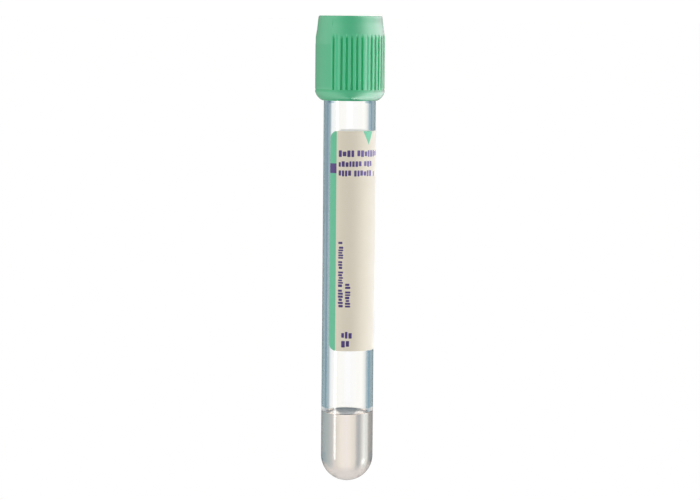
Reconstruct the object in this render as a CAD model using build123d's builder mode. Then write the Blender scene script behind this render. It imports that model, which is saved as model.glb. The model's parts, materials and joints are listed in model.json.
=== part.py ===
from build123d import *
import os
from math import asin, cos, degrees, radians, sin

os.makedirs("parts", exist_ok=True)

# Evacuated blood collection tube, 13 x 100 mm class: a clear moulded tube with a
# round bottom, separator gel in its foot, a wrapped label, and a two-piece
# closure, in which a recessed rubber stopper is carried by a ribbed shield.
#
# Every turned shape is drawn as (radius, station). Stations run along the tube's
# axis from its outer bottom (0) to the top of the closure. The tube stands on the
# flat top of its closure, round bottom up: it can't stand on the round bottom, and
# lying down it rolls. So stations run downwards, and the closure's top is at z = 0.

# ---------------------------------------------------------------- dimensions, mm
tube_length = 100.0
tube_r = 6.15  # outside of the straight barrel, and of the round bottom
tube_rim_r = 6.20  # outside at the mouth, flared a little inside the closure
barrel_end = 90.0  # the straight barrel stops here, just short of the closure
bore_foot_r = 5.00
bore_mouth_r = 5.06
rim_round = 0.30

gel_contact = 16.85  # where the gel's skin meets the wall
gel_dip = 0.60  # depth of its hollow at the middle

closure_top = 110.7
closure_r = 8.22
closure_top_r = 7.53
cone_end = 104.0  # the cone meets the full radius here
top_edge_round = 0.30
collar_start = 92.75  # below this the underside turns in towards the tube
underside_end = 90.75
underside_mid = (7.63, 91.61)  # on its round
skirt_r = 6.50
lip_r = 6.62

seat = 101.85  # the stopper's flange is clamped between the rim and this ledge
ledge_top = 103.25
neck_r = 4.05
head_r = 4.70
head_top = 105.60
well_r = 5.00  # needle well above the stopper
well_end = 108.00
funnel_r = 6.35
core_in_r = 5.75  # moulding core between the inner sleeve and the outer wall
core_out_r = 6.75
core_top = 106.60

rib_end = 93.35  # ribs stop at the collar
rib_depth = 0.44
rib_valley = 0.24  # radius of the valley between two ribs
rib_shoulder = 0.20  # radius of a rib's rounded edge
faint_depth = 0.13
rib_crown = 105.7  # the ribs reach the full radius here, above the plain cone
rib_rise, rib_foot_r = 108.9, 7.64  # and start to rise here
groove_rise = 105.3  # from here the grooves' floors rise, and reach the full radius
groove_end = 106.95
deep_grooves = [-28.7, -14.4, -5.7, 3.0, 11.7, 20.4, 37.8, 46.5, 55.2, 63.9, 72.6, 81.3]
faint_grooves = [-21.55, 29.1]
rib_sector = (-32.6, 85.2)  # degrees from the front of the tube, and again half a turn on
ring_low, ring_high, ring_depth = 93.20, 93.42, 0.10

plug_r = 5.025
plug_end = 93.40
flange_r = 6.30
rim_gap = 0.04
plug_cavity_r = 2.70
plug_cavity_top = 99.60
dish_r = 2.90
dish_depth = 1.50

label_low, label_high = 31.70, 83.70
label_thickness = 0.10
label_start = -45.7  # degrees from the front
label_wrap = 262.0
label_corner = 2.0

# ---------------------------------------------------------------- how it stands
along = Vector(0, 0, -1)  # from the round bottom to the closure
front = Vector(0, -1, 0)  # out of the front of the label
beside = along.cross(front)  # to the right of the front, with the closure upwards
tip = Vector(0, 0, closure_top)
tube_axis = Axis(origin=tip, direction=along)


def outward(azimuth):
    """Straight out from the axis, at an angle from the front of the tube."""
    return front * cos(radians(azimuth)) + beside * sin(radians(azimuth))


def section(azimuth):
    """Half-plane through the axis: local x is the radius, local y the station."""
    out = outward(azimuth)
    return Plane(origin=tip, x_dir=out, z_dir=out.cross(along))


def across(station):
    """Plane across the axis: an angle in it is measured from the front of the tube."""
    return Plane(origin=tip + along * station, x_dir=front, z_dir=along)


def bore_r(station):
    share = (station - tube_r) / (tube_length - tube_r)
    return bore_foot_r + (bore_mouth_r - bore_foot_r) * share


side = section(90)

# ---------------------------------------------------------------- tube
with BuildPart() as tube:
    with BuildSketch(side) as tube_profile:
        with BuildLine():
            CenterArc((0, tube_r), tube_r, 270, 90)
            Polyline(
                (tube_r, tube_r),
                (tube_r, barrel_end),
                (tube_rim_r, tube_length),
                (bore_mouth_r, tube_length),
                (bore_foot_r, tube_r),
            )
            CenterArc((0, tube_r), bore_foot_r, 0, -90)
            Line((0, tube_r - bore_foot_r), (0, 0))
        make_face()
        fillet(tube_profile.vertices().group_by(Axis.Y)[-1], radius=rim_round)
    revolve(axis=tube_axis)
tube.part.label = "tube"
export_step(tube.part, "parts/tube.step")

# ---------------------------------------------------------------- separator gel
gel_r = bore_r(gel_contact)
hollow_r = (gel_r**2 + gel_dip**2) / (2 * gel_dip)
with BuildPart() as separator_gel:
    with BuildSketch(side):
        with BuildLine():
            CenterArc((0, tube_r), bore_foot_r, 270, 90)
            Line((bore_foot_r, tube_r), (gel_r, gel_contact))
            CenterArc(
                (0, gel_contact - gel_dip + hollow_r),
                hollow_r,
                270 + degrees(asin(gel_r / hollow_r)),
                -degrees(asin(gel_r / hollow_r)),
            )
            Line((0, gel_contact - gel_dip), (0, tube_r - bore_foot_r))
        make_face()
    revolve(axis=tube_axis)
separator_gel.part.label = "separator_gel"
export_step(separator_gel.part, "parts/separator_gel.step")

# ---------------------------------------------------------------- stopper
with BuildPart() as stopper:
    with BuildSketch(side) as stopper_profile:
        with BuildLine():
            Polyline(
                (0, plug_cavity_top),
                (plug_cavity_r, plug_cavity_top),
                (plug_cavity_r + 0.15, plug_end),
                (plug_r - 0.12, plug_end),
                (plug_r, plug_end + 1.4),
                (plug_r, tube_length + rim_gap),
                (flange_r, tube_length + rim_gap),
                (flange_r, seat),
                (neck_r, seat),
                (neck_r, ledge_top),
                (head_r, ledge_top),
                (head_r, head_top),
                (dish_r, head_top),
                (dish_r - 0.25, head_top - dish_depth),
                (0, head_top - dish_depth),
                close=True,
            )
        make_face()
        corners = stopper_profile.vertices()
        fillet(corners.sort_by_distance((plug_cavity_r, plug_cavity_top))[0], radius=0.9)
        fillet(
            [
                corners.sort_by_distance((plug_cavity_r + 0.15, plug_end))[0],
                corners.sort_by_distance((plug_r - 0.12, plug_end))[0],
            ],
            radius=0.6,
        )
        fillet(
            [
                corners.sort_by_distance((flange_r, tube_length + rim_gap))[0],
                corners.sort_by_distance((flange_r, seat))[0],
                corners.sort_by_distance((head_r, head_top))[0],
                corners.sort_by_distance((dish_r, head_top))[0],
            ],
            radius=0.3,
        )
        fillet(
            corners.sort_by_distance((dish_r - 0.25, head_top - dish_depth))[0],
            radius=0.8,
        )
    revolve(axis=tube_axis)
stopper.part.label = "stopper"
export_step(stopper.part, "parts/stopper.step")

# ---------------------------------------------------------------- closure shield
# One groove between two ribs, drawn at the front: local x is the radius.
with BuildSketch(mode=Mode.PRIVATE) as deep_groove:
    valley = closure_r - rib_depth + rib_valley
    edge = rib_valley + rib_shoulder
    with BuildLine():
        ThreePointArc(
            (valley, rib_valley), (valley - rib_valley, 0), (valley, -rib_valley)
        )
        CenterArc((valley, -edge), rib_shoulder, 90, -90)
        Polyline(
            (valley + rib_shoulder, -edge),
            (valley + 1.2, -edge),
            (valley + 1.2, edge),
            (valley + rib_shoulder, edge),
        )
        CenterArc((valley, edge), rib_shoulder, 0, -90)
    make_face()

with BuildSketch(mode=Mode.PRIVATE) as faint_groove:
    with Locations((closure_r - faint_depth + 0.55, 0)):
        Circle(0.55)

with BuildPart() as closure_shield:
    # Seen from above, two ribbed fields and two plain ones take turns around the
    # closure. They differ only outside: the ribs rise sooner to the full radius.
    ribbed = [(closure_r, rib_crown), (rib_foot_r, rib_rise)]
    plain = [(closure_r, cone_end)]
    rib_span = rib_sector[1] - rib_sector[0]
    for start, span, outside in (
        (rib_sector[0], rib_span, ribbed),
        (rib_sector[1], 180 - rib_span, plain),
        (rib_sector[0] + 180, rib_span, ribbed),
        (rib_sector[1] + 180, 180 - rib_span, plain),
    ):
        with BuildSketch(section(start)) as shield_profile:
            with BuildLine():
                Polyline(
                    (closure_r, collar_start),
                    *outside,
                    (closure_top_r, closure_top),
                    (funnel_r, closure_top),
                    (well_r, well_end),
                    (well_r, head_top),
                    (head_r, head_top),
                    (head_r, ledge_top),
                    (neck_r, ledge_top),
                    (neck_r, seat),
                    (core_in_r, seat),
                    (core_in_r + 0.12, core_top),
                    (core_out_r - 0.12, core_top),
                    (core_out_r, seat),
                    (skirt_r, seat),
                    (skirt_r, underside_end),
                    (lip_r, underside_end),
                )
                ThreePointArc(
                    (lip_r, underside_end), underside_mid, (closure_r, collar_start)
                )
            make_face()
            corners = shield_profile.vertices()
            for spot, rounding in (
                ((closure_top_r, closure_top), top_edge_round),
                ((funnel_r, closure_top), 0.5),
                ((well_r, well_end), 0.8),
                (outside[0], 4.0),
                *[(spot, 6.0) for spot in outside[1:]],
            ):
                fillet(corners.sort_by_distance(spot)[0], radius=rounding)
        revolve(axis=tube_axis, revolution_arc=span)
    # grooves between the ribs, alike on both sides of the closure
    with BuildSketch(across(rib_end)):
        for angle in deep_grooves:
            with PolarLocations(0, 2, start_angle=angle):
                add(deep_groove.sketch)
    extrude(amount=groove_rise - rib_end, mode=Mode.SUBTRACT)
    with BuildSketch(across(rib_end)):
        for angle in faint_grooves:
            with PolarLocations(0, 2, start_angle=angle):
                add(faint_groove.sketch)
    extrude(amount=closure_top - rib_end + 1, mode=Mode.SUBTRACT)
    # each deep groove runs out to a point: its section is pushed up and outwards
    for angle in deep_grooves:
        for turn in (0, 180):
            way = along * (groove_end - groove_rise) + outward(angle + turn) * rib_depth
            with BuildSketch(across(groove_rise)):
                with PolarLocations(0, 1, start_angle=angle + turn):
                    add(deep_groove.sketch)
            extrude(amount=1.15 * way.length, dir=way, mode=Mode.SUBTRACT)
    # fine witness line round the closure where the ribs meet the collar
    with BuildSketch(side):
        with BuildLine():
            Polyline(
                (closure_r - ring_depth, ring_low),
                (closure_r + 0.5, ring_low),
                (closure_r + 0.5, ring_high),
                (closure_r - ring_depth, ring_high),
                close=True,
            )
        make_face()
    revolve(axis=tube_axis, mode=Mode.SUBTRACT)
closure_shield.part.label = "closure_shield"
export_step(closure_shield.part, "parts/closure_shield.step")

# ---------------------------------------------------------------- label
with BuildPart() as label:
    with BuildSketch(section(label_start)):
        with BuildLine():
            Polyline(
                (tube_r, label_low),
                (tube_r + label_thickness, label_low),
                (tube_r + label_thickness, label_high),
                (tube_r, label_high),
                close=True,
            )
        make_face()
    revolve(axis=tube_axis, revolution_arc=label_wrap)
    # the four corners are rounded: each cut is drawn on the flat that touches the
    # tube at that end of the label, and goes straight in through the label
    for azimuth, way in ((label_start, 1), (label_start + label_wrap, -1)):
        for station, up in ((label_low, -1), (label_high, 1)):
            end = section(azimuth)
            flat = Plane(
                origin=tip + along * station + end.x_dir * (tube_r - 1.5),
                x_dir=along.cross(end.x_dir) * -1,
                z_dir=end.x_dir,
            )
            with BuildSketch(flat):
                with BuildLine():
                    Polyline(
                        (0, -up * label_corner),
                        (-way * 0.6, -up * label_corner),
                        (-way * 0.6, up * 0.6),
                        (way * label_corner, up * 0.6),
                        (way * label_corner, 0),
                    )
                    ThreePointArc(
                        (way * label_corner, 0),
                        (
                            way * label_corner * (1 - sin(radians(45))),
                            -up * label_corner * (1 - sin(radians(45))),
                        ),
                        (0, -up * label_corner),
                    )
                make_face()
            extrude(amount=2.5, mode=Mode.SUBTRACT)
label.part.label = "label"
export_step(label.part, "parts/label.step")

whole = Compound(
    children=[
        tube.part,
        separator_gel.part,
        stopper.part,
        closure_shield.part,
        label.part,
    ]
)
size = whole.bounding_box()
print("box", size.min, size.max)
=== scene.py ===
import json
import math
import random
from math import asin, cos, degrees, pi, radians, sin, sqrt

import bpy
import bmesh
from mathutils import Matrix, Vector

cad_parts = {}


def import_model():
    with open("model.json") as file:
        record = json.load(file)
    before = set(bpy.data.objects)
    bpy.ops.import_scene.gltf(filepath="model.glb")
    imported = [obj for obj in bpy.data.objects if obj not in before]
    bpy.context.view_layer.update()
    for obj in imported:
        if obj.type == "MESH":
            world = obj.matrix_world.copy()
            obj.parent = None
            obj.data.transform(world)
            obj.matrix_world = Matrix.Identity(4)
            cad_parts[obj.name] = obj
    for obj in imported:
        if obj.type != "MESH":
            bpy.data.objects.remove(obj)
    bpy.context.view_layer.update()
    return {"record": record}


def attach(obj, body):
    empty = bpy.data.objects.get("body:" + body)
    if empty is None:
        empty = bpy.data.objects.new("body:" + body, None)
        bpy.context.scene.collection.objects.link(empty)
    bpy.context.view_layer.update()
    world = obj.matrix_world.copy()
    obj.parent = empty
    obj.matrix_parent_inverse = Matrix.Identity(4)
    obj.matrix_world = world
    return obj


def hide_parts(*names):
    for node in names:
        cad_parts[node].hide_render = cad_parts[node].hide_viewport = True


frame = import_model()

# ------------------------------------------------------------------ the frame
record = frame["record"]
mounts = {m["name"]: m for m in record["mounts"]}
ALONG = Vector(mounts["closure_grip"]["axis"]).normalized()  # tube's axis, towards the closure: straight down
FRONT = Vector((0, -1, 0))  # out of the label's front
SIDE = ALONG.cross(FRONT)  # to the right of the front, seen with the closure up
MM = 0.001
BARREL_R = mounts["tube_barrel"]["dims"]["r_mm"]
BARREL_END = BARREL_R + mounts["tube_barrel"]["dims"]["length_mm"]
TIP = Vector(mounts["tube_barrel"]["pos_m"]) - ALONG * (BARREL_R + BARREL_END) / 2 * MM
TOTAL = 110.7


def at(azimuth, r, s):
    """A point r mm from the axis at station s mm, azimuth degrees from the front towards SIDE."""
    a = radians(azimuth)
    return TIP + ALONG * (s * MM) + (FRONT * cos(a) + SIDE * sin(a)) * (r * MM)


# ------------------------------------------------------------------ nodes
class Nodes:
    def __init__(self, tree):
        self.t = tree
        tree.nodes.clear()

    def add(self, kind, **values):
        n = self.t.nodes.new(kind)
        for key, value in values.items():
            if key.startswith("_"):
                setattr(n, key[1:], value)
        for key, value in values.items():
            if key.startswith("_"):
                continue
            socket = n.inputs[int(key[1:])] if key[0] == "i" and key[1:].isdigit() else n.inputs[key.replace("__", " ")]
            if isinstance(value, bpy.types.NodeSocket):
                self.t.links.new(value, socket)
            else:
                socket.default_value = value
        return n

    def maths(self, op, a, b=None, c=None, clamp=False):
        n = self.t.nodes.new("ShaderNodeMath")
        n.operation, n.use_clamp = op, clamp
        for i, v in enumerate((a, b, c)):
            if v is None:
                continue
            if isinstance(v, bpy.types.NodeSocket):
                self.t.links.new(v, n.inputs[i])
            else:
                n.inputs[i].default_value = v
        return n.outputs[0]

    def ramp(self, fac, stops, mode="LINEAR"):
        n = self.t.nodes.new("ShaderNodeValToRGB")
        n.color_ramp.interpolation = mode
        e = n.color_ramp.elements
        while len(e) > 1:
            e.remove(e[-1])
        e[0].position, e[0].color = stops[0][0], (*stops[0][1], 1)
        for p, c in stops[1:]:
            x = e.new(p)
            x.color = (*c, 1)
        self.t.links.new(fac, n.inputs[0])
        return n.outputs["Color"]

    def mix(self, fac, a, b, blend="MIX"):
        n = self.t.nodes.new("ShaderNodeMix")
        n.data_type, n.blend_type = "RGBA", blend
        for key, v in (("Factor", fac), ("A", a), ("B", b)):
            socket = [i for i in n.inputs if i.name == key and i.enabled][0]
            if isinstance(v, bpy.types.NodeSocket):
                self.t.links.new(v, socket)
            elif key == "Factor":
                socket.default_value = v
            else:
                socket.default_value = (*v, 1)
        return [o for o in n.outputs if o.enabled][0]


def srgb(*rgb):
    return tuple((v / 255 / 12.92) if v / 255 <= 0.04045 else ((v / 255 + 0.055) / 1.055) ** 2.4 for v in rgb)


def material(name):
    m = bpy.data.materials.new(name)
    m.use_nodes = True
    return m, Nodes(m.node_tree)


# ------------------------------------------------------------------ meshes
def make(name, verts, faces, mats, index=None, sharp=None, smooth=True):
    me = bpy.data.meshes.new(name)
    me.from_pydata([tuple(v) for v in verts], [], faces)
    for m in mats:
        me.materials.append(m)
    if index:
        me.polygons.foreach_set("material_index", index)
    me.polygons.foreach_set("use_smooth", [smooth] * len(me.polygons))
    bm = bmesh.new()
    bm.from_mesh(me)
    bmesh.ops.recalc_face_normals(bm, faces=bm.faces)
    if bm.calc_volume(signed=True) < 0:
        bmesh.ops.reverse_faces(bm, faces=bm.faces)
    bm.to_mesh(me)
    bm.free()
    if sharp is not None:
        me.set_sharp_from_angle(angle=radians(sharp))
    me.update()
    o = bpy.data.objects.new(name, me)
    bpy.context.scene.collection.objects.link(o)
    return o


def arc(cx, cy, r, a0, a1, n):
    return [(cx + r * cos(radians(a0 + (a1 - a0) * i / n)), cy + r * sin(radians(a0 + (a1 - a0) * i / n))) for i in range(n + 1)]


def rounded(points, radii, n=5, closed=False):
    """A polyline whose corners are rounded: radii by point index."""
    out = []
    for i, p in enumerate(points):
        r = radii.get(i, 0)
        if not r:
            out.append(p)
            continue
        a, b, c = Vector(points[i - 1]), Vector(p), Vector(points[(i + 1) % len(points)])
        u, v = (a - b).normalized(), (c - b).normalized()
        half = math.acos(max(-1, min(1, u.dot(v)))) / 2
        cut = r / math.tan(half)
        p0, p1 = b + u * cut, b + v * cut
        centre = b + (u + v).normalized() * (r / sin(half))
        s0, s1 = p0 - centre, p1 - centre
        turn = s0.angle_signed(s1)
        for k in range(n + 1):
            t = -turn * k / n
            out.append((centre.x + s0.x * cos(t) - s0.y * sin(t), centre.y + s0.x * sin(t) + s0.y * cos(t)))
    return out


def lathe(name, profile, segs, mats, pick=None, sharp=32, wave=None):
    """Turns a profile of (r, s) about the tube's axis. It runs from pole to pole, or is a closed loop if no end is on the axis.
    pick gives a profile step's material. wave moves a ring's points along the axis: wave(i, azimuth) in mm."""
    verts, rings = [], []
    for i, (r, s) in enumerate(profile):
        if r < 1e-6:
            verts.append(at(0, 0, s + (wave(i, None) if wave else 0)))
            rings.append([len(verts) - 1] * segs)
        else:
            ring = []
            for k in range(segs):
                az = 360 * k / segs
                verts.append(at(az, r, s + (wave(i, az) if wave else 0)))
                ring.append(len(verts) - 1)
            rings.append(ring)
    looped = profile[0][0] > 1e-6
    faces, index = [], []
    steps = len(profile) if looped else len(profile) - 1
    for i in range(steps):
        a, b = rings[i], rings[(i + 1) % len(rings)]
        for k in range(segs):
            q = [a[k], a[(k + 1) % segs], b[(k + 1) % segs], b[k]]
            q = [v for n, v in enumerate(q) if v not in q[:n]]
            if len(q) > 2:
                faces.append(q)
                index.append(pick(i) if pick else 0)
    return make(name, verts, faces, mats, index, sharp)


# ------------------------------------------------------------------ camera
CAM_D = 650.0
F_PX = 2743.6
cam_data = bpy.data.cameras.new("camera")
cam = bpy.data.objects.new("camera", cam_data)
bpy.context.scene.collection.objects.link(cam)
bpy.context.scene.camera = cam
cam_data.sensor_fit = "HORIZONTAL"
cam_data.sensor_width = 36
cam_data.lens = F_PX * 36 / 700
cam_data.clip_start, cam_data.clip_end = 0.01, 20
cam_data.dof.use_dof = False
eye = at(0, CAM_D, TOTAL - 1) + SIDE * 0.36 * MM
aim = at(0, 0, 55.2) + SIDE * 0.36 * MM
look = (aim - eye).normalized()
right = SIDE.copy()
up = right.cross(look).normalized()
roll = radians(-0.50)
right, up = right * cos(roll) - up * sin(roll), up * cos(roll) + right * sin(roll)
cam.matrix_world = Matrix(
    (
        (right.x, up.x, -look.x, eye.x),
        (right.y, up.y, -look.y, eye.y),
        (right.z, up.z, -look.z, eye.z),
        (0, 0, 0, 1),
    )
)

# ------------------------------------------------------------------ tube
PET_N = 1.575
GEL_N = 1.46


def pet(name, ior=PET_N, hollow=False):
    """Clear moulded polyester, with faint flow lines along the moulding. Where the tube is empty, the glass is tinted
    by how far the wall turns from the view, a deeper blue-grey towards its edges: painted shade."""
    m, n = material(name)
    geo = n.add("ShaderNodeTexCoord").outputs["Object"]
    drawn = n.add("ShaderNodeVectorMath", _operation="MULTIPLY", i0=geo, i1=(300.0, 300.0, 9.0)).outputs[0]
    flow = n.add("ShaderNodeTexNoise", Vector=drawn, Scale=1.0, Detail=1.0, Roughness=0.4)
    bump = n.add("ShaderNodeBump", Strength=0.004, Distance=0.00002, Height=flow.outputs["Fac"])
    p = n.add("ShaderNodeBsdfPrincipled", Roughness=0.0, IOR=ior, Transmission__Weight=1.0, Base__Color=(1.0, 1.0, 1.0, 1), Normal=bump.outputs[0])
    if hollow:
        # painted shade: the wall's colour darkens to blue-grey as it turns away from the view
        facing = n.add("ShaderNodeLayerWeight", Blend=0.5).outputs["Facing"]
        painted_edge_shade = n.ramp(facing, [(f, tuple(v * v for v in c)) for f, c in WALL_EDGE_PAINTED_SHADE])
        n.t.links.new(painted_edge_shade, p.inputs["Base Color"])
    n.add("ShaderNodeOutputMaterial", Surface=p.outputs[0])
    return m


# painted shade: what of red, green and blue is left, by how far the wall turns away from the view, darker and bluer
# towards the edges
WALL_EDGE_PAINTED_SHADE = [
    (0.0, (1.0, 1.0, 1.0)),
    (0.25, (1.0, 1.0, 1.0)),
    (0.30, (0.86, 0.93, 0.96)),
    (0.34, (0.62, 0.75, 0.80)),
    (0.40, (0.55, 0.70, 0.77)),
    (0.50, (0.54, 0.69, 0.76)),
    (0.60, (0.49, 0.64, 0.70)),
    (0.70, (0.41, 0.54, 0.59)),
    (0.85, (0.35, 0.46, 0.50)),
    (1.0, (0.35, 0.46, 0.50)),
]
CONTACT = 16.85
GEL_DIP = 0.55
GEL_TILT = 0.26  # mm lower at the front than at the back, over the radius


def bore(s):
    return 5.00 + 0.06 * (s - BARREL_R) / (100 - BARREL_R)


def gel_line(az):
    """Where the gel's skin meets the wall, against the mean: it slumped a little towards the front."""
    a = radians(az)
    return -GEL_TILT * cos(a) + 0.05 * sin(2 * a + 0.6) - 0.03 * cos(3 * a)


tube_profile = arc(0, BARREL_R, BARREL_R, -90, 0, 40)
tube_profile += [(BARREL_R, 12)]
level_at = len(tube_profile)
tube_profile += [(BARREL_R, s) for s in (CONTACT + 1.1, 20, 40, 60, 80, BARREL_END)]
tube_profile += rounded([(6.15, BARREL_END), (6.20, 100), (5.06, 100), (5.0, 20)], {1: 0.3, 2: 0.3}, 6)[1:-1]
bore_at = len(tube_profile)
wall_steps = [(bore(s), s) for s in (90, 70, 50, 30, 20)]
tube_profile += wall_steps
contact_at = len(tube_profile)
tube_profile.append((bore(CONTACT), CONTACT))
tube_profile += [(bore(s), s) for s in (14, 10)]
tube_profile += arc(0, BARREL_R, 5.0, 0, -90, 40)
tube_vis = lathe(
    "tube_body_clear",
    tube_profile,
    288,
    [pet("clear_polyester"), pet("clear_polyester_on_gel", PET_N / GEL_N), pet("clear_polyester_hollow", hollow=True)],
    pick=lambda i: 1 if i >= contact_at else 2 if level_at <= i < bore_at else 0,
    wave=lambda i, az: gel_line(az) if (i in (contact_at, level_at) and az is not None) else 0,
)
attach(tube_vis, "tube_body")
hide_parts("tube")

# ------------------------------------------------------------------ gel
gap = 0.012
gel_profile = [(r, s) for r, s in arc(0, BARREL_R, 5.0 - gap, -90, 0, 32)]
gel_profile += [(bore(s) - gap, s) for s in (10, 14)]
rim_at = len(gel_profile)
gel_r = bore(CONTACT) - gap
hollow = (gel_r**2 + GEL_DIP**2) / (2 * GEL_DIP)
# the skin climbs the wall in a fine meniscus, then lies nearly flat
top = []
for k in range(25):
    r = gel_r * (1 - k / 24) ** 0.8 if k < 24 else 0.0
    base = CONTACT - GEL_DIP + (hollow - sqrt(hollow**2 - r * r)) * 0.45
    base += 0.55 * GEL_DIP * math.exp(-(gel_r - r) / 0.45)
    top.append((r, base))
gel_profile += top


def gel_wave(i, az):
    if i < rim_at or az is None:
        return 0
    r = gel_profile[i][0] / gel_r
    return gel_line(az) * r


def gel_material(name, ior, rough, tint):
    m, n = material(name)
    p = n.add("ShaderNodeBsdfPrincipled", Roughness=rough, IOR=ior, Transmission__Weight=1.0, Base__Color=(*tint, 1))
    n.add("ShaderNodeOutputMaterial", Surface=p.outputs[0])
    return m


gel_vis = lathe(
    "separator_gel_body",
    gel_profile,
    192,
    # the skin's blue-grey tint darkens the band seen through it at the gel's top: painted shade
    [gel_material("gel_side", 1.0, 0.0, (0.85, 0.785, 0.74)), gel_material("gel_skin", GEL_N, 0.06, (0.78, 0.90, 0.95))],
    pick=lambda i: 0 if i < rim_at else 1,
    wave=gel_wave,
    sharp=60,
)
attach(gel_vis, "tube_body")
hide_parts("separator_gel")

# ------------------------------------------------------------------ label
LABEL_START, LABEL_WRAP = -45.7, 262.0
LABEL_LOW, LABEL_HIGH, LABEL_T, CORNER = 31.7, 83.7, 0.10, 2.0
LABEL_R = BARREL_R + LABEL_T
LABEL_W = radians(LABEL_WRAP) * LABEL_R


def on_label(u, s, lift=0.0):
    return at(LABEL_START + degrees(u / LABEL_R), LABEL_R + lift, s)


def label_material():
    m, n = material("label_paper")
    geo = n.add("ShaderNodeTexCoord").outputs["Object"]
    fibre = n.add("ShaderNodeTexNoise", Vector=geo, Scale=2600.0, Detail=4.0, Roughness=0.6)
    cloud = n.add("ShaderNodeTexNoise", Vector=geo, Scale=240.0, Detail=3.0, Roughness=0.5)
    tone = n.mix(n.maths("MULTIPLY", cloud.outputs["Fac"], 0.5), srgb(251, 244, 226), srgb(246, 238, 218))
    tone = n.mix(n.maths("MULTIPLY", fibre.outputs["Fac"], 0.08), tone, srgb(224, 216, 198))
    bump = n.add("ShaderNodeBump", Strength=0.12, Distance=0.00002, Height=fibre.outputs["Fac"])
    rough = n.maths("MULTIPLY_ADD", cloud.outputs["Fac"], 0.10, 0.46)
    p = n.add(
        "ShaderNodeBsdfPrincipled",
        Base__Color=tone,
        Roughness=rough,
        IOR=1.45,
        Coat__Weight=0.5,
        Coat__Roughness=0.35,
        Normal=bump.outputs[0],
    )
    n.add("ShaderNodeOutputMaterial", Surface=p.outputs[0])
    return m


def label_back_painted_glow():
    """The glued side, seen through the tube: whiter, and it glows a little, painted light standing in for light that
    comes through the paper.
    """
    m, n = material("label_back_painted_glow")
    geo = n.add("ShaderNodeTexCoord").outputs["Object"]
    cloud = n.add("ShaderNodeTexNoise", Vector=geo, Scale=400.0, Detail=4.0, Roughness=0.6)
    tone = n.mix(cloud.outputs["Fac"], srgb(252, 251, 246), srgb(246, 245, 238))
    # painted light: the back glows, though it is no lamp
    p = n.add("ShaderNodeBsdfPrincipled", Base__Color=tone, Roughness=0.7, IOR=1.4, Emission__Color=(1.0, 0.99, 0.95, 1), Emission__Strength=0.45)
    n.add("ShaderNodeOutputMaterial", Surface=p.outputs[0])
    return m


def label_mesh():
    us = sorted({0.0, LABEL_W, *[CORNER * (1 - cos(radians(a))) for a in range(9, 91, 9)], *[LABEL_W - CORNER * (1 - cos(radians(a))) for a in range(9, 91, 9)], *[CORNER + (LABEL_W - 2 * CORNER) * k / 80 for k in range(1, 80)]})
    rows = 24
    verts, faces = [], []

    def span(u):
        d = min(u, LABEL_W - u)
        inset = CORNER - sqrt(max(0, CORNER**2 - (CORNER - d) ** 2)) if d < CORNER else 0.0
        return LABEL_LOW + inset, LABEL_HIGH - inset

    grid = {}
    inner = 0
    for side, lift in (("out", 0.0), ("in", -LABEL_T + 0.006)):
        inner = len(verts)
        for i, u in enumerate(us):
            lo, hi = span(u)
            for j in range(rows + 1):
                grid[side, i, j] = len(verts)
                verts.append(on_label(u, lo + (hi - lo) * j / rows, lift))
    last = len(us) - 1
    for i in range(last):
        for j in range(rows):
            faces.append([grid["out", i, j], grid["out", i + 1, j], grid["out", i + 1, j + 1], grid["out", i, j + 1]])
            faces.append([grid["in", i, j], grid["in", i, j + 1], grid["in", i + 1, j + 1], grid["in", i + 1, j]])
        for j in (0, rows):
            faces.append([grid["out", i, j], grid["in", i, j], grid["in", i + 1, j], grid["out", i + 1, j]])
    for i in (0, last):
        for j in range(rows):
            faces.append([grid["out", i, j], grid["out", i, j + 1], grid["in", i, j + 1], grid["in", i, j]])
    index = [1 if f[0] >= inner and f[1] >= inner and f[2] >= inner else 0 for f in faces]
    return make("label_wrap", verts, faces, [label_material(), label_back_painted_glow()], index, sharp=40)


label_vis = label_mesh()
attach(label_vis, "tube_body")
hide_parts("label")


def ink(name, colour, rough=0.42):
    m, n = material(name)
    geo = n.add("ShaderNodeTexCoord").outputs["Object"]
    mottle = n.add("ShaderNodeTexNoise", Vector=geo, Scale=1500.0, Detail=3.0, Roughness=0.6)
    tone = n.mix(n.maths("MULTIPLY", mottle.outputs["Fac"], 0.22), colour, tuple(min(1, c * 1.5 + 0.06) for c in colour))
    p = n.add("ShaderNodeBsdfPrincipled", Base__Color=tone, Roughness=rough, IOR=1.45)
    n.add("ShaderNodeOutputMaterial", Surface=p.outputs[0])
    return m


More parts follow.
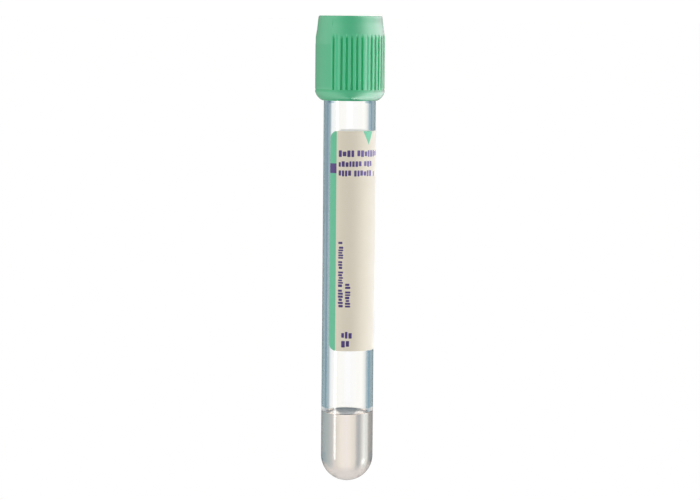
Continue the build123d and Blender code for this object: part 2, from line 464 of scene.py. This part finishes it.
class Print:
    """Thin closed fields of ink on the label's face, outlines in (u, s) mm."""

    def __init__(self):
        self.verts, self.faces, self.index = [], [], []

    def field(self, outline, mat, lift=0.010):
        # outline: convex, anticlockwise in (u, s). Long sides are divided so that they follow the curve.
        pts = []
        for i, a in enumerate(outline):
            b = outline[(i + 1) % len(outline)]
            n = max(1, int(abs(b[0] - a[0]) / 0.25))
            pts += [(a[0] + (b[0] - a[0]) * k / n, a[1] + (b[1] - a[1]) * k / n) for k in range(n)]
        us = sorted({round(p[0], 5) for p in pts})

        def cut(u):
            ss = []
            for i, a in enumerate(outline):
                b = outline[(i + 1) % len(outline)]
                if abs(a[0] - b[0]) < 1e-7:
                    if abs(a[0] - u) < 1e-5:
                        ss += [a[1], b[1]]
                elif min(a[0], b[0]) - 1e-5 <= u <= max(a[0], b[0]) + 1e-5:
                    t = (u - a[0]) / (b[0] - a[0])
                    ss.append(a[1] + (b[1] - a[1]) * t)
            return min(ss), max(ss)

        base = len(self.verts)
        cols = []
        for u in us:
            lo, hi = cut(u)
            if hi - lo < 1e-4:
                hi = lo + 1e-4
            col = []
            for lf in (lift, -0.03):
                for s in (lo, hi):
                    col.append(len(self.verts))
                    self.verts.append(on_label(u, s, lf))
            cols.append(col)  # out lo, out hi, in lo, in hi
        for a, b in zip(cols, cols[1:]):
            for q in ((a[0], b[0], b[1], a[1]), (a[2], a[3], b[3], b[2]), (a[0], a[2], b[2], b[0]), (a[1], b[1], b[3], a[3])):
                self.faces.append(q)
                self.index.append(mat)
        for c in (cols[0], cols[-1]):
            self.faces.append((c[0], c[1], c[3], c[2]))
            self.index.append(mat)

    def bar(self, u0, u1, s0, s1, mat, cutoff=0.0, lift=0.010):
        c = min(cutoff, (u1 - u0) / 2 * 0.99, (s1 - s0) / 2 * 0.99)
        if c > 0:
            o = [(u0 + c, s0), (u1 - c, s0), (u1, s0 + c), (u1, s1 - c), (u1 - c, s1), (u0 + c, s1), (u0, s1 - c), (u0, s0 + c)]
        else:
            o = [(u0, s0), (u1, s0), (u1, s1), (u0, s1)]
        self.field(o, mat, lift)


def az_u(az):
    return radians(az - LABEL_START) * LABEL_R


MINT, PURPLE = 0, 1
prints = Print()
# stripe along the label's left edge, following its rounded corners
stripe_w = az_u(-28.6)
inset = 0.0
for k in range(12):
    a0, a1 = 90 * k / 12, 90 * (k + 1) / 12
    u0, u1 = CORNER * (1 - cos(radians(a0))), CORNER * (1 - cos(radians(a1)))
    u0, u1 = max(u0, 0.02), min(u1, stripe_w)
    if u1 <= u0:
        continue
    d0 = CORNER - sqrt(max(0, CORNER**2 - (CORNER - u0) ** 2))
    d1 = CORNER - sqrt(max(0, CORNER**2 - (CORNER - u1) ** 2))
    prints.field([(u0, LABEL_LOW + d0 + 0.02), (u1, LABEL_LOW + d1 + 0.02), (u1, LABEL_HIGH - d1 - 0.02), (u0, LABEL_HIGH - d0 - 0.02)], MINT)
prints.bar(0.03, stripe_w, 73.75, 76.05, PURPLE, 0.0, 0.016)
# pointer at the label's top edge
prints.field([(az_u(46.8) - 0.02, 80.5), (az_u(46.8) + 0.02, 80.5), (az_u(59.0), LABEL_HIGH - 0.02), (az_u(31.4), LABEL_HIGH - 0.02)], MINT)


def greek(u, s, end, height, seed, across=False, letter=0.62, gap_=0.20, weight=1.0):
    """A run of word-like blocks: no letters, only the grey of a line of type."""
    rnd = random.Random(seed)
    pos = u if not across else s
    while pos < end - letter:
        for _ in range(rnd.randint(3, 8)):
            w = letter * rnd.uniform(0.7, 1.15)
            if pos + w > end:
                break
            low = rnd.choice((0.0, 0.0, 0.0, 0.12)) * height
            high = height * rnd.choice((1.0, 1.0, 0.82))
            if across:
                prints.bar(u + low, u + high, pos, pos + w, PURPLE, 0.10)
            else:
                prints.bar(pos, pos + w, s + low, s + high, PURPLE, 0.10)
            pos += w + gap_
        pos += letter * 0.75


greek(az_u(-23.2), 77.62, az_u(96), 1.55, 3, letter=0.78, gap_=0.22)
greek(az_u(-23.2), 75.30, az_u(57.5), 1.32, 5, letter=0.66, gap_=0.20)
greek(az_u(-23.2), 73.05, az_u(74), 1.40, 8, letter=0.70, gap_=0.20)
greek(az_u(-22.6), 42.1, 58.1, 1.22, 11, across=True, letter=0.56, gap_=0.18)
greek(az_u(-6.6), 42.1, 47.75, 1.22, 12, across=True, letter=0.56, gap_=0.18)
greek(az_u(-14.2), 34.72, az_u(10.8), 1.6, 21, letter=0.74, gap_=0.22)
greek(az_u(-14.2), 32.60, az_u(9.8), 1.55, 23, letter=0.80, gap_=0.22)
print_vis = make("label_print", prints.verts, prints.faces, [ink("ink_mint", srgb(108, 208, 168)), ink("ink_purple", srgb(66, 48, 116))], prints.index, sharp=30)
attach(print_vis, "tube_body")

# ------------------------------------------------------------------ stopper
def rubber():
    m, n = material("stopper_rubber")
    geo = n.add("ShaderNodeTexCoord").outputs["Object"]
    grain = n.add("ShaderNodeTexNoise", Vector=geo, Scale=1800.0, Detail=5.0, Roughness=0.65)
    cloud = n.add("ShaderNodeTexNoise", Vector=geo, Scale=180.0, Detail=2.0, Roughness=0.5)
    tone = n.mix(cloud.outputs["Fac"], srgb(118, 168, 142), srgb(104, 155, 129))
    bump = n.add("ShaderNodeBump", Strength=0.25, Distance=0.00004, Height=grain.outputs["Fac"])
    rough = n.maths("MULTIPLY_ADD", grain.outputs["Fac"], 0.15, 0.55)
    p = n.add("ShaderNodeBsdfPrincipled", Base__Color=tone, Roughness=rough, IOR=1.5, Normal=bump.outputs[0])
    n.add("ShaderNodeOutputMaterial", Surface=p.outputs[0])
    return m


stopper_profile = rounded(
    [(0, 99.6), (2.7, 99.6), (2.85, 93.4), (4.905, 93.4), (5.025, 94.8), (5.025, 100.04), (6.30, 100.04), (6.30, 101.85), (4.05, 101.85), (4.05, 103.25), (4.70, 103.25), (4.70, 105.60), (2.90, 105.60), (2.65, 104.10), (0, 104.10)],
    {1: 0.9, 2: 0.6, 3: 0.6, 6: 0.3, 7: 0.3, 11: 0.3, 12: 0.3, 13: 0.8},
    6,
)
stopper_vis = lathe("stopper_moulded", stopper_profile, 144, [rubber()])
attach(stopper_vis, "closure_body")
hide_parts("stopper")

# ------------------------------------------------------------------ closure shield
CR = mounts["closure_grip"]["dims"]["r_mm"]
DEEP = [-28.7, -14.4, -5.7, 3.0, 11.7, 20.4, 37.8, 46.5, 55.2, 63.9, 72.6, 81.3]
FAINT = [-21.55, 29.1]
SECTOR = (-32.6, 85.2)
RIB_END = 93.35
VALLEY_R = CR - 0.44 + 0.24


def rib_cut(t):
    """Radius of a groove's surface, t mm round from its middle."""
    t = abs(t)
    if t <= 0.24:
        return VALLEY_R - sqrt(max(0, 0.24**2 - t * t))
    if t <= 0.44:
        return VALLEY_R + sqrt(max(0, 0.20**2 - (t - 0.44) ** 2))
    return 99.0


def faint_cut(t):
    c, r = CR - 0.13 + 0.55, 0.55
    return c - sqrt(r * r - t * t) if abs(t) < r * 0.98 else 99.0


def table_of(points, radii):
    return rounded(points, radii, 14)


PLAIN = table_of([(CR, 93.0), (CR, 104.0), (7.53, 110.7)], {1: 4.0})
RIBBED = table_of([(CR, 93.0), (CR, 105.7), (7.64, 108.9), (7.53, 110.7)], {1: 4.0, 2: 6.0})


def radius_at(table, s):
    for (r0, s0), (r1, s1) in zip(table, table[1:]):
        if s <= s1:
            return r0 + (r1 - r0) * (s - s0) / (s1 - s0) if s1 > s0 else r1
    return table[-1][0]


def sector_mix(az):
    """1 in a ribbed field, 0 in a plain one, with a short blend."""
    a = (az - SECTOR[0]) % 180
    w = SECTOR[1] - SECTOR[0]
    d = min(a, w - a) if a <= w else -min(a - w, 180 - a)
    return max(0.0, min(1.0, d / 0.8 + 0.5))


def shield_mesh():
    offs = [0, 0.05, 0.10, 0.145, 0.185, 0.215, 0.234, 0.24, 0.246, 0.262, 0.29, 0.33, 0.38, 0.44]
    azs = set()
    for base in (0, 180):
        for g in DEEP:
            for o in offs:
                for sg in (-1, 1):
                    azs.add(round((g + base + sg * degrees(o / CR)) % 360, 4))
        for g in FAINT:
            for o in (0, 0.1, 0.2, 0.28, 0.35, 0.42):
                for sg in (-1, 1):
                    azs.add(round((g + base + sg * degrees(o / CR)) % 360, 4))
        a = SECTOR[1] + 1.0
        while a < SECTOR[0] + 180 - 0.5:
            azs.add(round((a + base) % 360, 4))
            a += 2.0
        for e in (*SECTOR,):
            for d in (-0.4, 0, 0.4):
                azs.add(round((e + d + base) % 360, 4))
    azs = sorted(azs)
    keep = [azs[0]]
    for a in azs[1:]:
        if a - keep[-1] > 0.03:
            keep.append(a)
    azs = keep
    cuts = []  # radius of a deep and of a faint groove's surface at each azimuth
    for a in azs:
        painted_edge_shade = faint = 99.0
        for base in (0, 180):
            for g in DEEP:
                d = (a - g - base + 180) % 360 - 180
                if abs(d) < 5:
                    painted_edge_shade = min(painted_edge_shade, rib_cut(radians(d) * CR))
            for g in FAINT:
                d = (a - g - base + 180) % 360 - 180
                if abs(d) < 5:
                    faint = min(faint, faint_cut(radians(d) * CR))
        cuts.append((painted_edge_shade, faint))
    # rows: (station, kind); the outside from the lip up to the top edge
    rows = []
    # underside arc through the lip, the given middle and the collar's edge
    p0, p1, p2 = Vector((6.62, 90.75)), Vector((7.63, 91.61)), Vector((CR, 92.75))
    d = 2 * (p0.x * (p1.y - p2.y) + p1.x * (p2.y - p0.y) + p2.x * (p0.y - p1.y))
    ux = ((p0.length_squared) * (p1.y - p2.y) + (p1.length_squared) * (p2.y - p0.y) + (p2.length_squared) * (p0.y - p1.y)) / d
    uy = ((p0.length_squared) * (p2.x - p1.x) + (p1.length_squared) * (p0.x - p2.x) + (p2.length_squared) * (p1.x - p0.x)) / d
    rr = (p0 - Vector((ux, uy))).length
    a0 = math.atan2(p0.y - uy, p0.x - ux)
    a1 = math.atan2(p2.y - uy, p2.x - ux)
    loop = []  # list of functions az index -> (r, s)

    def fixed(r, s):
        return lambda i: (r, s)

    loop.append(fixed(6.50, 90.87))
    loop.append(fixed(6.535, 90.785))
    for k in range(15):
        a = a0 + (a1 - a0) * k / 14
        loop.append(fixed(ux + rr * cos(a), uy + rr * sin(a)))
    loop.append(fixed(CR, 92.90))
    loop.append(fixed(CR, 93.17))
    loop.append(fixed(CR - 0.03, 93.20))
    loop.append(fixed(CR - 0.10, 93.215))
    loop.append(fixed(CR - 0.10, 93.34))

    def skin(s, ease=0.0):
        def f(i):
            mixv = sector_mix(azs[i])
            r = radius_at(RIBBED, s) * mixv + radius_at(PLAIN, s) * (1 - mixv)
            r -= ease
            # a deep groove's floor rises to the full radius, so that the groove runs out to a point
            c = min(cuts[i][0] + 0.44 * max(0.0, (s - 105.3) / 1.65), cuts[i][1])
            if c < r + 0.05:
                # a soft crease where a groove runs out on the cone
                h = max(0.0, min(1.0, 0.5 + (r - c) / 0.10))
                r = r * (1 - h) + c * h - 0.025 * h * (1 - h) * 2
            return (r, s)
        return f

    # lower ends of the ribs: each crest eases into the witness line
    for s, ease in ((93.35, 0.10), (93.38, 0.045), (93.43, 0.012), (93.50, 0.0)):
        loop.append(skin(s, ease))
    for s in (94.2, 96, 98, 100, 102, 103, 103.5):
        loop.append(skin(s))
    s = 103.8
    while s < 110.35:
        loop.append(skin(s))
        s += 0.16 if s < 109.2 else 0.25
    # top edge, rounded 0.30
    for k in range(7):
        a = radians(-3 + 93 * k / 6)
        loop.append(fixed(7.53 - 0.30 + 0.30 * cos(a), 110.4 + 0.30 * sin(a)))
    inside = rounded(
        [(7.0, 110.7), (6.35, 110.7), (5.0, 108.0), (5.0, 105.6), (4.7, 105.6), (4.7, 103.25), (4.05, 103.25), (4.05, 101.85), (5.75, 101.85), (5.87, 106.6), (6.63, 106.6), (6.75, 101.85), (6.5, 101.85), (6.5, 91.2)],
        {1: 0.5, 2: 0.8, 9: 0.2, 10: 0.2},
        6,
    )
    # the shield's inside is a hair clear of the stopper, so that no two faces are in one place
    for r, s in inside:
        loop.append(fixed(r, s))
    verts, faces = [], []
    n = len(azs)
    for f in loop:
        for i in range(n):
            r, s = f(i)
            verts.append(at(azs[i], r, s))
    m = len(loop)
    for j in range(m):
        k = (j + 1) % m
        for i in range(n):
            i2 = (i + 1) % n
            faces.append([j * n + i, j * n + i2, k * n + i2, k * n + i])
    print("shield columns", n, "rows", m, "tris", 2 * n * m)
    return verts, faces


def shield_material():
    m, n = material("shield_polypropylene")
    geo = n.add("ShaderNodeTexCoord").outputs["Object"]
    grain = n.add("ShaderNodeTexNoise", Vector=geo, Scale=3200.0, Detail=3.0, Roughness=0.6)
    cloud = n.add("ShaderNodeTexNoise", Vector=geo, Scale=90.0, Detail=2.0, Roughness=0.5)
    tone = n.mix(cloud.outputs["Fac"], srgb(85, 214, 158), srgb(78, 209, 152))
    # painted shade and highlight: the colour is darker and deeper down in the grooves of the ribbed fields, where shade
    # falls, and lighter on their crests, as if lit
    xyz = n.add("ShaderNodeSeparateXYZ", Vector=geo).outputs
    radial = n.maths("SQRT", n.maths("ADD", n.maths("MULTIPLY", xyz["X"], xyz["X"]), n.maths("MULTIPLY", xyz["Y"], xyz["Y"])))
    turn = n.maths("ARCTAN2", n.maths("MULTIPLY", xyz["X"], -1.0), n.maths("MULTIPLY", xyz["Y"], -1.0))
    turn = n.maths("FLOORED_MODULO", n.maths("MULTIPLY_ADD", turn, 1 / pi, -SECTOR[0] / 180), 1.0)
    ribbed = n.maths("LESS_THAN", n.maths("ABSOLUTE", n.maths("SUBTRACT", turn, (SECTOR[1] - SECTOR[0]) / 360)), (SECTOR[1] - SECTOR[0]) / 360)
    ribbed = n.maths("MULTIPLY", ribbed, n.maths("LESS_THAN", xyz["Z"], (TOTAL - RIB_END) * MM))
    taper = n.maths("MULTIPLY", n.maths("MAXIMUM", n.maths("SUBTRACT", (TOTAL - 105.5) * MM, xyz["Z"]), 0.0), 0.18)
    crest = n.maths("SUBTRACT", (CR - 0.05) * MM, taper)
    groove_painted_shade = n.maths("MULTIPLY", n.maths("SUBTRACT", crest, radial), 1000 / 0.34, clamp=True)
    # painted highlight: the ribbed field below the cone is made lighter, so its crests read as lit
    above = n.maths("MULTIPLY", n.maths("SUBTRACT", xyz["Z"], (TOTAL - 106.6) * MM), 1000 / 1.6, clamp=True)
    tone = n.mix(n.maths("MULTIPLY", ribbed, above), tone, srgb(91, 229, 170))
    # painted shade: a deep, dark green down in the grooves
    tone = n.mix(n.maths("MULTIPLY", ribbed, groove_painted_shade), tone, srgb(22, 180, 114))
    bump = n.add("ShaderNodeBump", Strength=0.10, Distance=0.00002, Height=grain.outputs["Fac"])
    rough = n.maths("MULTIPLY_ADD", grain.outputs["Fac"], 0.06, 0.12)
    p = n.add(
        "ShaderNodeBsdfPrincipled",
        Base__Color=tone,
        Roughness=rough,
        IOR=1.49,
        Normal=bump.outputs[0],
    )
    n.add("ShaderNodeOutputMaterial", Surface=p.outputs[0])
    return m


sv, sf = shield_mesh()
shield_vis = make("closure_shield_ribbed", sv, sf, [shield_material()], sharp=38)
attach(shield_vis, "closure_body")
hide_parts("closure_shield")

# ------------------------------------------------------------------ stage
def floor():
    me = bpy.data.meshes.new("floor")
    h = 2.0
    me.from_pydata([(-h, -h, 0), (h, -h, 0), (h, h, 0), (-h, h, 0)], [], [(0, 1, 2, 3)])
    o = bpy.data.objects.new("floor", me)
    bpy.context.scene.collection.objects.link(o)
    m, n = material("floor_white")
    p = n.add("ShaderNodeBsdfPrincipled", Base__Color=(0.82, 0.82, 0.82, 1), Roughness=0.9, Emission__Color=(1, 1, 1, 1), Emission__Strength=0.68)
    p.inputs["Specular IOR Level"].default_value = 0.0
    n.add("ShaderNodeOutputMaterial", Surface=p.outputs[0])
    me.materials.append(m)
    o.visible_diffuse = o.visible_glossy = o.visible_transmission = False  # the studio below lights the part, not the table
    return o


floor()


def world():
    """A soft studio: white behind the part, a large pale screen on the right, a dimmer one on the left."""
    w = bpy.data.worlds.new("studio")
    bpy.context.scene.world = w
    w.use_nodes = True
    w.cycles.sampling_method = "NONE"
    n = Nodes(w.node_tree)
    d = n.add("ShaderNodeTexCoord").outputs["Generated"]
    sep = n.add("ShaderNodeSeparateXYZ", Vector=d)
    x, y, z = sep.outputs["X"], sep.outputs["Y"], sep.outputs["Z"]
    # 0.5 is the side the label faces, 0.75 is on the right of it with the closure up
    psi = n.maths("ARCTAN2", n.maths("MULTIPLY", x, -1.0), n.maths("MULTIPLY", y, -1.0))
    u = n.maths("MULTIPLY_ADD", psi, 0.5 / pi, 0.5)

    def round_about(stops, mode="LINEAR"):
        return n.ramp(u, [((a + 180) / 360, (c,) * 3 if isinstance(c, float) else c) for a, c in stops], mode)

    warm, cool = (1.0, 0.965, 0.915), (1.0, 0.99, 1.03)
    soft = round_about(
        [(-180, 0.62), (-160, 0.35), (-140, 0.53), (-115, 0.85), (-90, 0.62), (-65, 0.30), (-40, 0.31), (-15, 0.88), (0, 1.08), (20, 0.74), (45, 0.30), (70, 0.18), (90, 0.08), (110, 0.04), (150, 0.07), (165, 0.35), (180, 0.62)]
    )
    soft = n.mix(1.0, soft, round_about([(-180, warm), (0, warm), (35, cool), (150, cool), (180, warm)]), "MULTIPLY")
    gloss = round_about(
        [(-180, 0.03), (-160, 0.03), (-130, 0.08), (-96, 0.18), (-60, 0.22), (-40, 0.16), (-20, 0.09), (0, 0.065), (15, 0.09), (36, 0.20), (52, 0.37), (64, 0.50), (78, 0.57), (110, 0.52), (130, 0.34), (150, 0.18), (165, 0.05), (180, 0.03)]
    )
    # what the clear parts reflect: one slim light on the left and a small window low on the right
    mirror = round_about(
        [(-180, 0.06), (-150, 0.06), (-120, 0.25), (-63.5, 0.35), (-60.5, 7.5), (-52.5, 7.5), (-49.5, 0.35), (0, 0.4), (60, 0.4), (110, 0.25), (150, 0.06), (180, 0.06)]
    )
    spill = n.ramp(n.maths("MULTIPLY_ADD", z, 0.5, 0.5), [(0.0, (1, 1, 1)), (0.635, (1, 1, 1)), (0.655, (0, 0, 0))])
    dim = (0.3, 0.3, 0.3)
    mirror = n.mix(spill, dim, mirror)
    window = n.ramp(
        n.add("ShaderNodeVectorMath", _operation="DISTANCE", i0=d, i1=(-0.927, -0.105, 0.36)).outputs["Value"],
        [(0.0, (1, 1, 1)), (0.06, (0.9, 0.9, 0.9)), (0.14, (0.35, 0.35, 0.35)), (0.25, (0, 0, 0))],
    )
    mirror = n.mix(window, mirror, (9.0, 9.0, 9.0))
    # what they show behind them
    white = (1.06, 1.06, 1.06)
    cream = (1.06, 1.045, 0.985)
    through = round_about(
        [
            (-180, white), (-176, cream), (-171, (0.95, 0.95, 0.88)), (-168.5, (0.86, 0.87, 0.84)), (-166, (0.60, 0.63, 0.65)), (-163, (0.49, 0.545, 0.575)), (-160, (0.60, 0.645, 0.66)), (-157, (0.84, 0.87, 0.87)), (-154, (0.96, 1.04, 1.04)),
            (-146, (0.95, 1.04, 1.04)), (-142, (0.82, 0.85, 0.84)), (-138, (0.50, 0.52, 0.51)), (-128, (0.46, 0.48, 0.48)), (-110, 0.60),
            (-103, 0.95), (-77, 0.95), (-68, 0.60), (-20, 0.60), (-14, 0.95), (14, 0.95), (20, 0.60), (68, 0.60), (77, 0.95), (97, 0.95), (104, (0.52, 0.60, 0.62)), (118, (0.455, 0.57, 0.60)), (148, (0.47, 0.58, 0.61)),
            (156, (0.62, 0.68, 0.69)), (160, 0.80), (165, (0.88, 0.88, 0.83)), (172, cream), (180, white),
        ]
    )
    # at the height of the eye both sides are more even, and a little above it the outermost parts are dimmer and bluer
    level = n.maths("MULTIPLY_ADD", z, 0.5, 0.5)
    even = n.ramp(level, [(0.0, (0, 0, 0)), (0.46, (0, 0, 0)), (0.49, (1, 1, 1)), (0.53, (1, 1, 1)), (0.545, (0.7, 0.7, 0.7)), (0.61, (0.7, 0.7, 0.7)), (0.64, (0, 0, 0))])
    # only where the tube is empty: past the gel light has crossed six faces, not four
    empty = n.maths("LESS_THAN", n.add("ShaderNodeLightPath").outputs["Transmission Depth"], 4.5)
    even = n.mix(1.0, even, n.add("ShaderNodeCombineXYZ", X=empty, Y=empty, Z=empty).outputs[0], "MULTIPLY")
    left = round_about([(-180, 0.0), (-163, 0.0), (-159, 1.0), (-112, 1.0), (-106, 0.0), (180, 0.0)])
    through = n.mix(n.mix(1.0, left, even, "MULTIPLY"), through, (0.48, 0.53, 0.55))
    inner = round_about([(-180, 0.0), (-174, 0.0), (-170, 1.0), (-165, 1.0), (-162, 0.0), (180, 0.0)])
    through = n.mix(n.mix(1.0, inner, even, "MULTIPLY"), through, (0.98, 1.0, 1.0))
    right = round_about([(-180, 0.0), (130, 0.0), (136, 1.0), (156, 1.0), (160, 0.0), (180, 0.0)])
    through = n.mix(n.mix(1.0, right, even, "MULTIPLY"), through, (0.70, 0.68, 0.67))
    dusk = n.ramp(level, [(0.0, (1, 1, 1)), (0.40, (1, 1, 1)), (0.46, (0.74, 0.84, 0.92)), (0.564, (0.74, 0.84, 0.92)), (0.577, (1, 1, 1))])
    edges = round_about([(-180, 0.0), (-141, 0.0), (-135, 1.0), (-96, 1.0), (-86, 0.0), (86, 0.0), (96, 1.0), (136, 1.0), (144, 0.0), (180, 0.0)])
    through = n.mix(edges, through, n.mix(1.0, through, dusk, "MULTIPLY"))
    # level with the tube it is a band of pale and grey; higher up, that is nearer the table, it is all pale
    below = n.ramp(n.maths("MULTIPLY_ADD", z, 0.5, 0.5), [(0.0, (1, 1, 1)), (0.32, (1, 1, 1)), (0.44, (0, 0, 0))])
    through = n.mix(below, through, (0.88, 0.88, 0.88))
    above = n.ramp(n.maths("MULTIPLY_ADD", z, 0.5, 0.5), [(0.0, (0, 0, 0)), (0.64, (0, 0, 0)), (0.72, (1, 1, 1))])
    through = n.mix(above, through, (1.35, 1.30, 1.22))
    # and below them, past the end of the tube: dark straight under it
    q = n.maths("MULTIPLY_ADD", y, -0.35, z)
    under = n.ramp(n.maths("MULTIPLY_ADD", q, 0.5, 0.5), [(0.5, (0, 0, 0)), (0.69, (0, 0, 0)), (0.74, (0.35, 0.35, 0.35)), (0.80, (0.85, 0.85, 0.85)), (0.84, (1, 1, 1))])
    mid = n.ramp(n.maths("ABSOLUTE", x), [(0.0, (1, 1, 1)), (0.32, (1, 1, 1)), (0.45, (0, 0, 0))])
    through = n.mix(n.mix(1.0, under, mid, "MULTIPLY"), through, (0.035, 0.085, 0.115))
    steep = n.maths("SMOOTH_MIN", n.maths("ABSOLUTE", z), 0.17, 0.08)
    gain = n.maths("MULTIPLY_ADD", steep, 3.8, 1.0)
    lp = n.add("ShaderNodeLightPath").outputs
    gloss = n.mix(1.0, gloss, n.add("ShaderNodeCombineXYZ", X=gain, Y=gain, Z=gain).outputs[0], "MULTIPLY")
    gloss = n.mix(1.0, gloss, (9.0, 9.0, 9.0), "MULTIPLY")
    colour = n.mix(lp["Is Glossy Ray"], soft, n.mix(lp["Is Singular Ray"], gloss, mirror))
    colour = n.mix(lp["Is Transmission Ray"], colour, through)
    colour = n.mix(lp["Is Camera Ray"], colour, (1.0, 1.0, 1.0))
    b = n.add("ShaderNodeBackground", Color=colour, Strength=1.0)
    n.add("ShaderNodeOutputWorld", Surface=b.outputs[0])


world()

scene = bpy.context.scene
scene.cycles.glossy_bounces, scene.cycles.transmission_bounces, scene.cycles.max_bounces = 16, 24, 32  # clear walls
scene.view_settings.view_transform = "Standard"
scene.view_settings.look = "None"
scene.view_settings.exposure = 0
scene.view_settings.gamma = 1
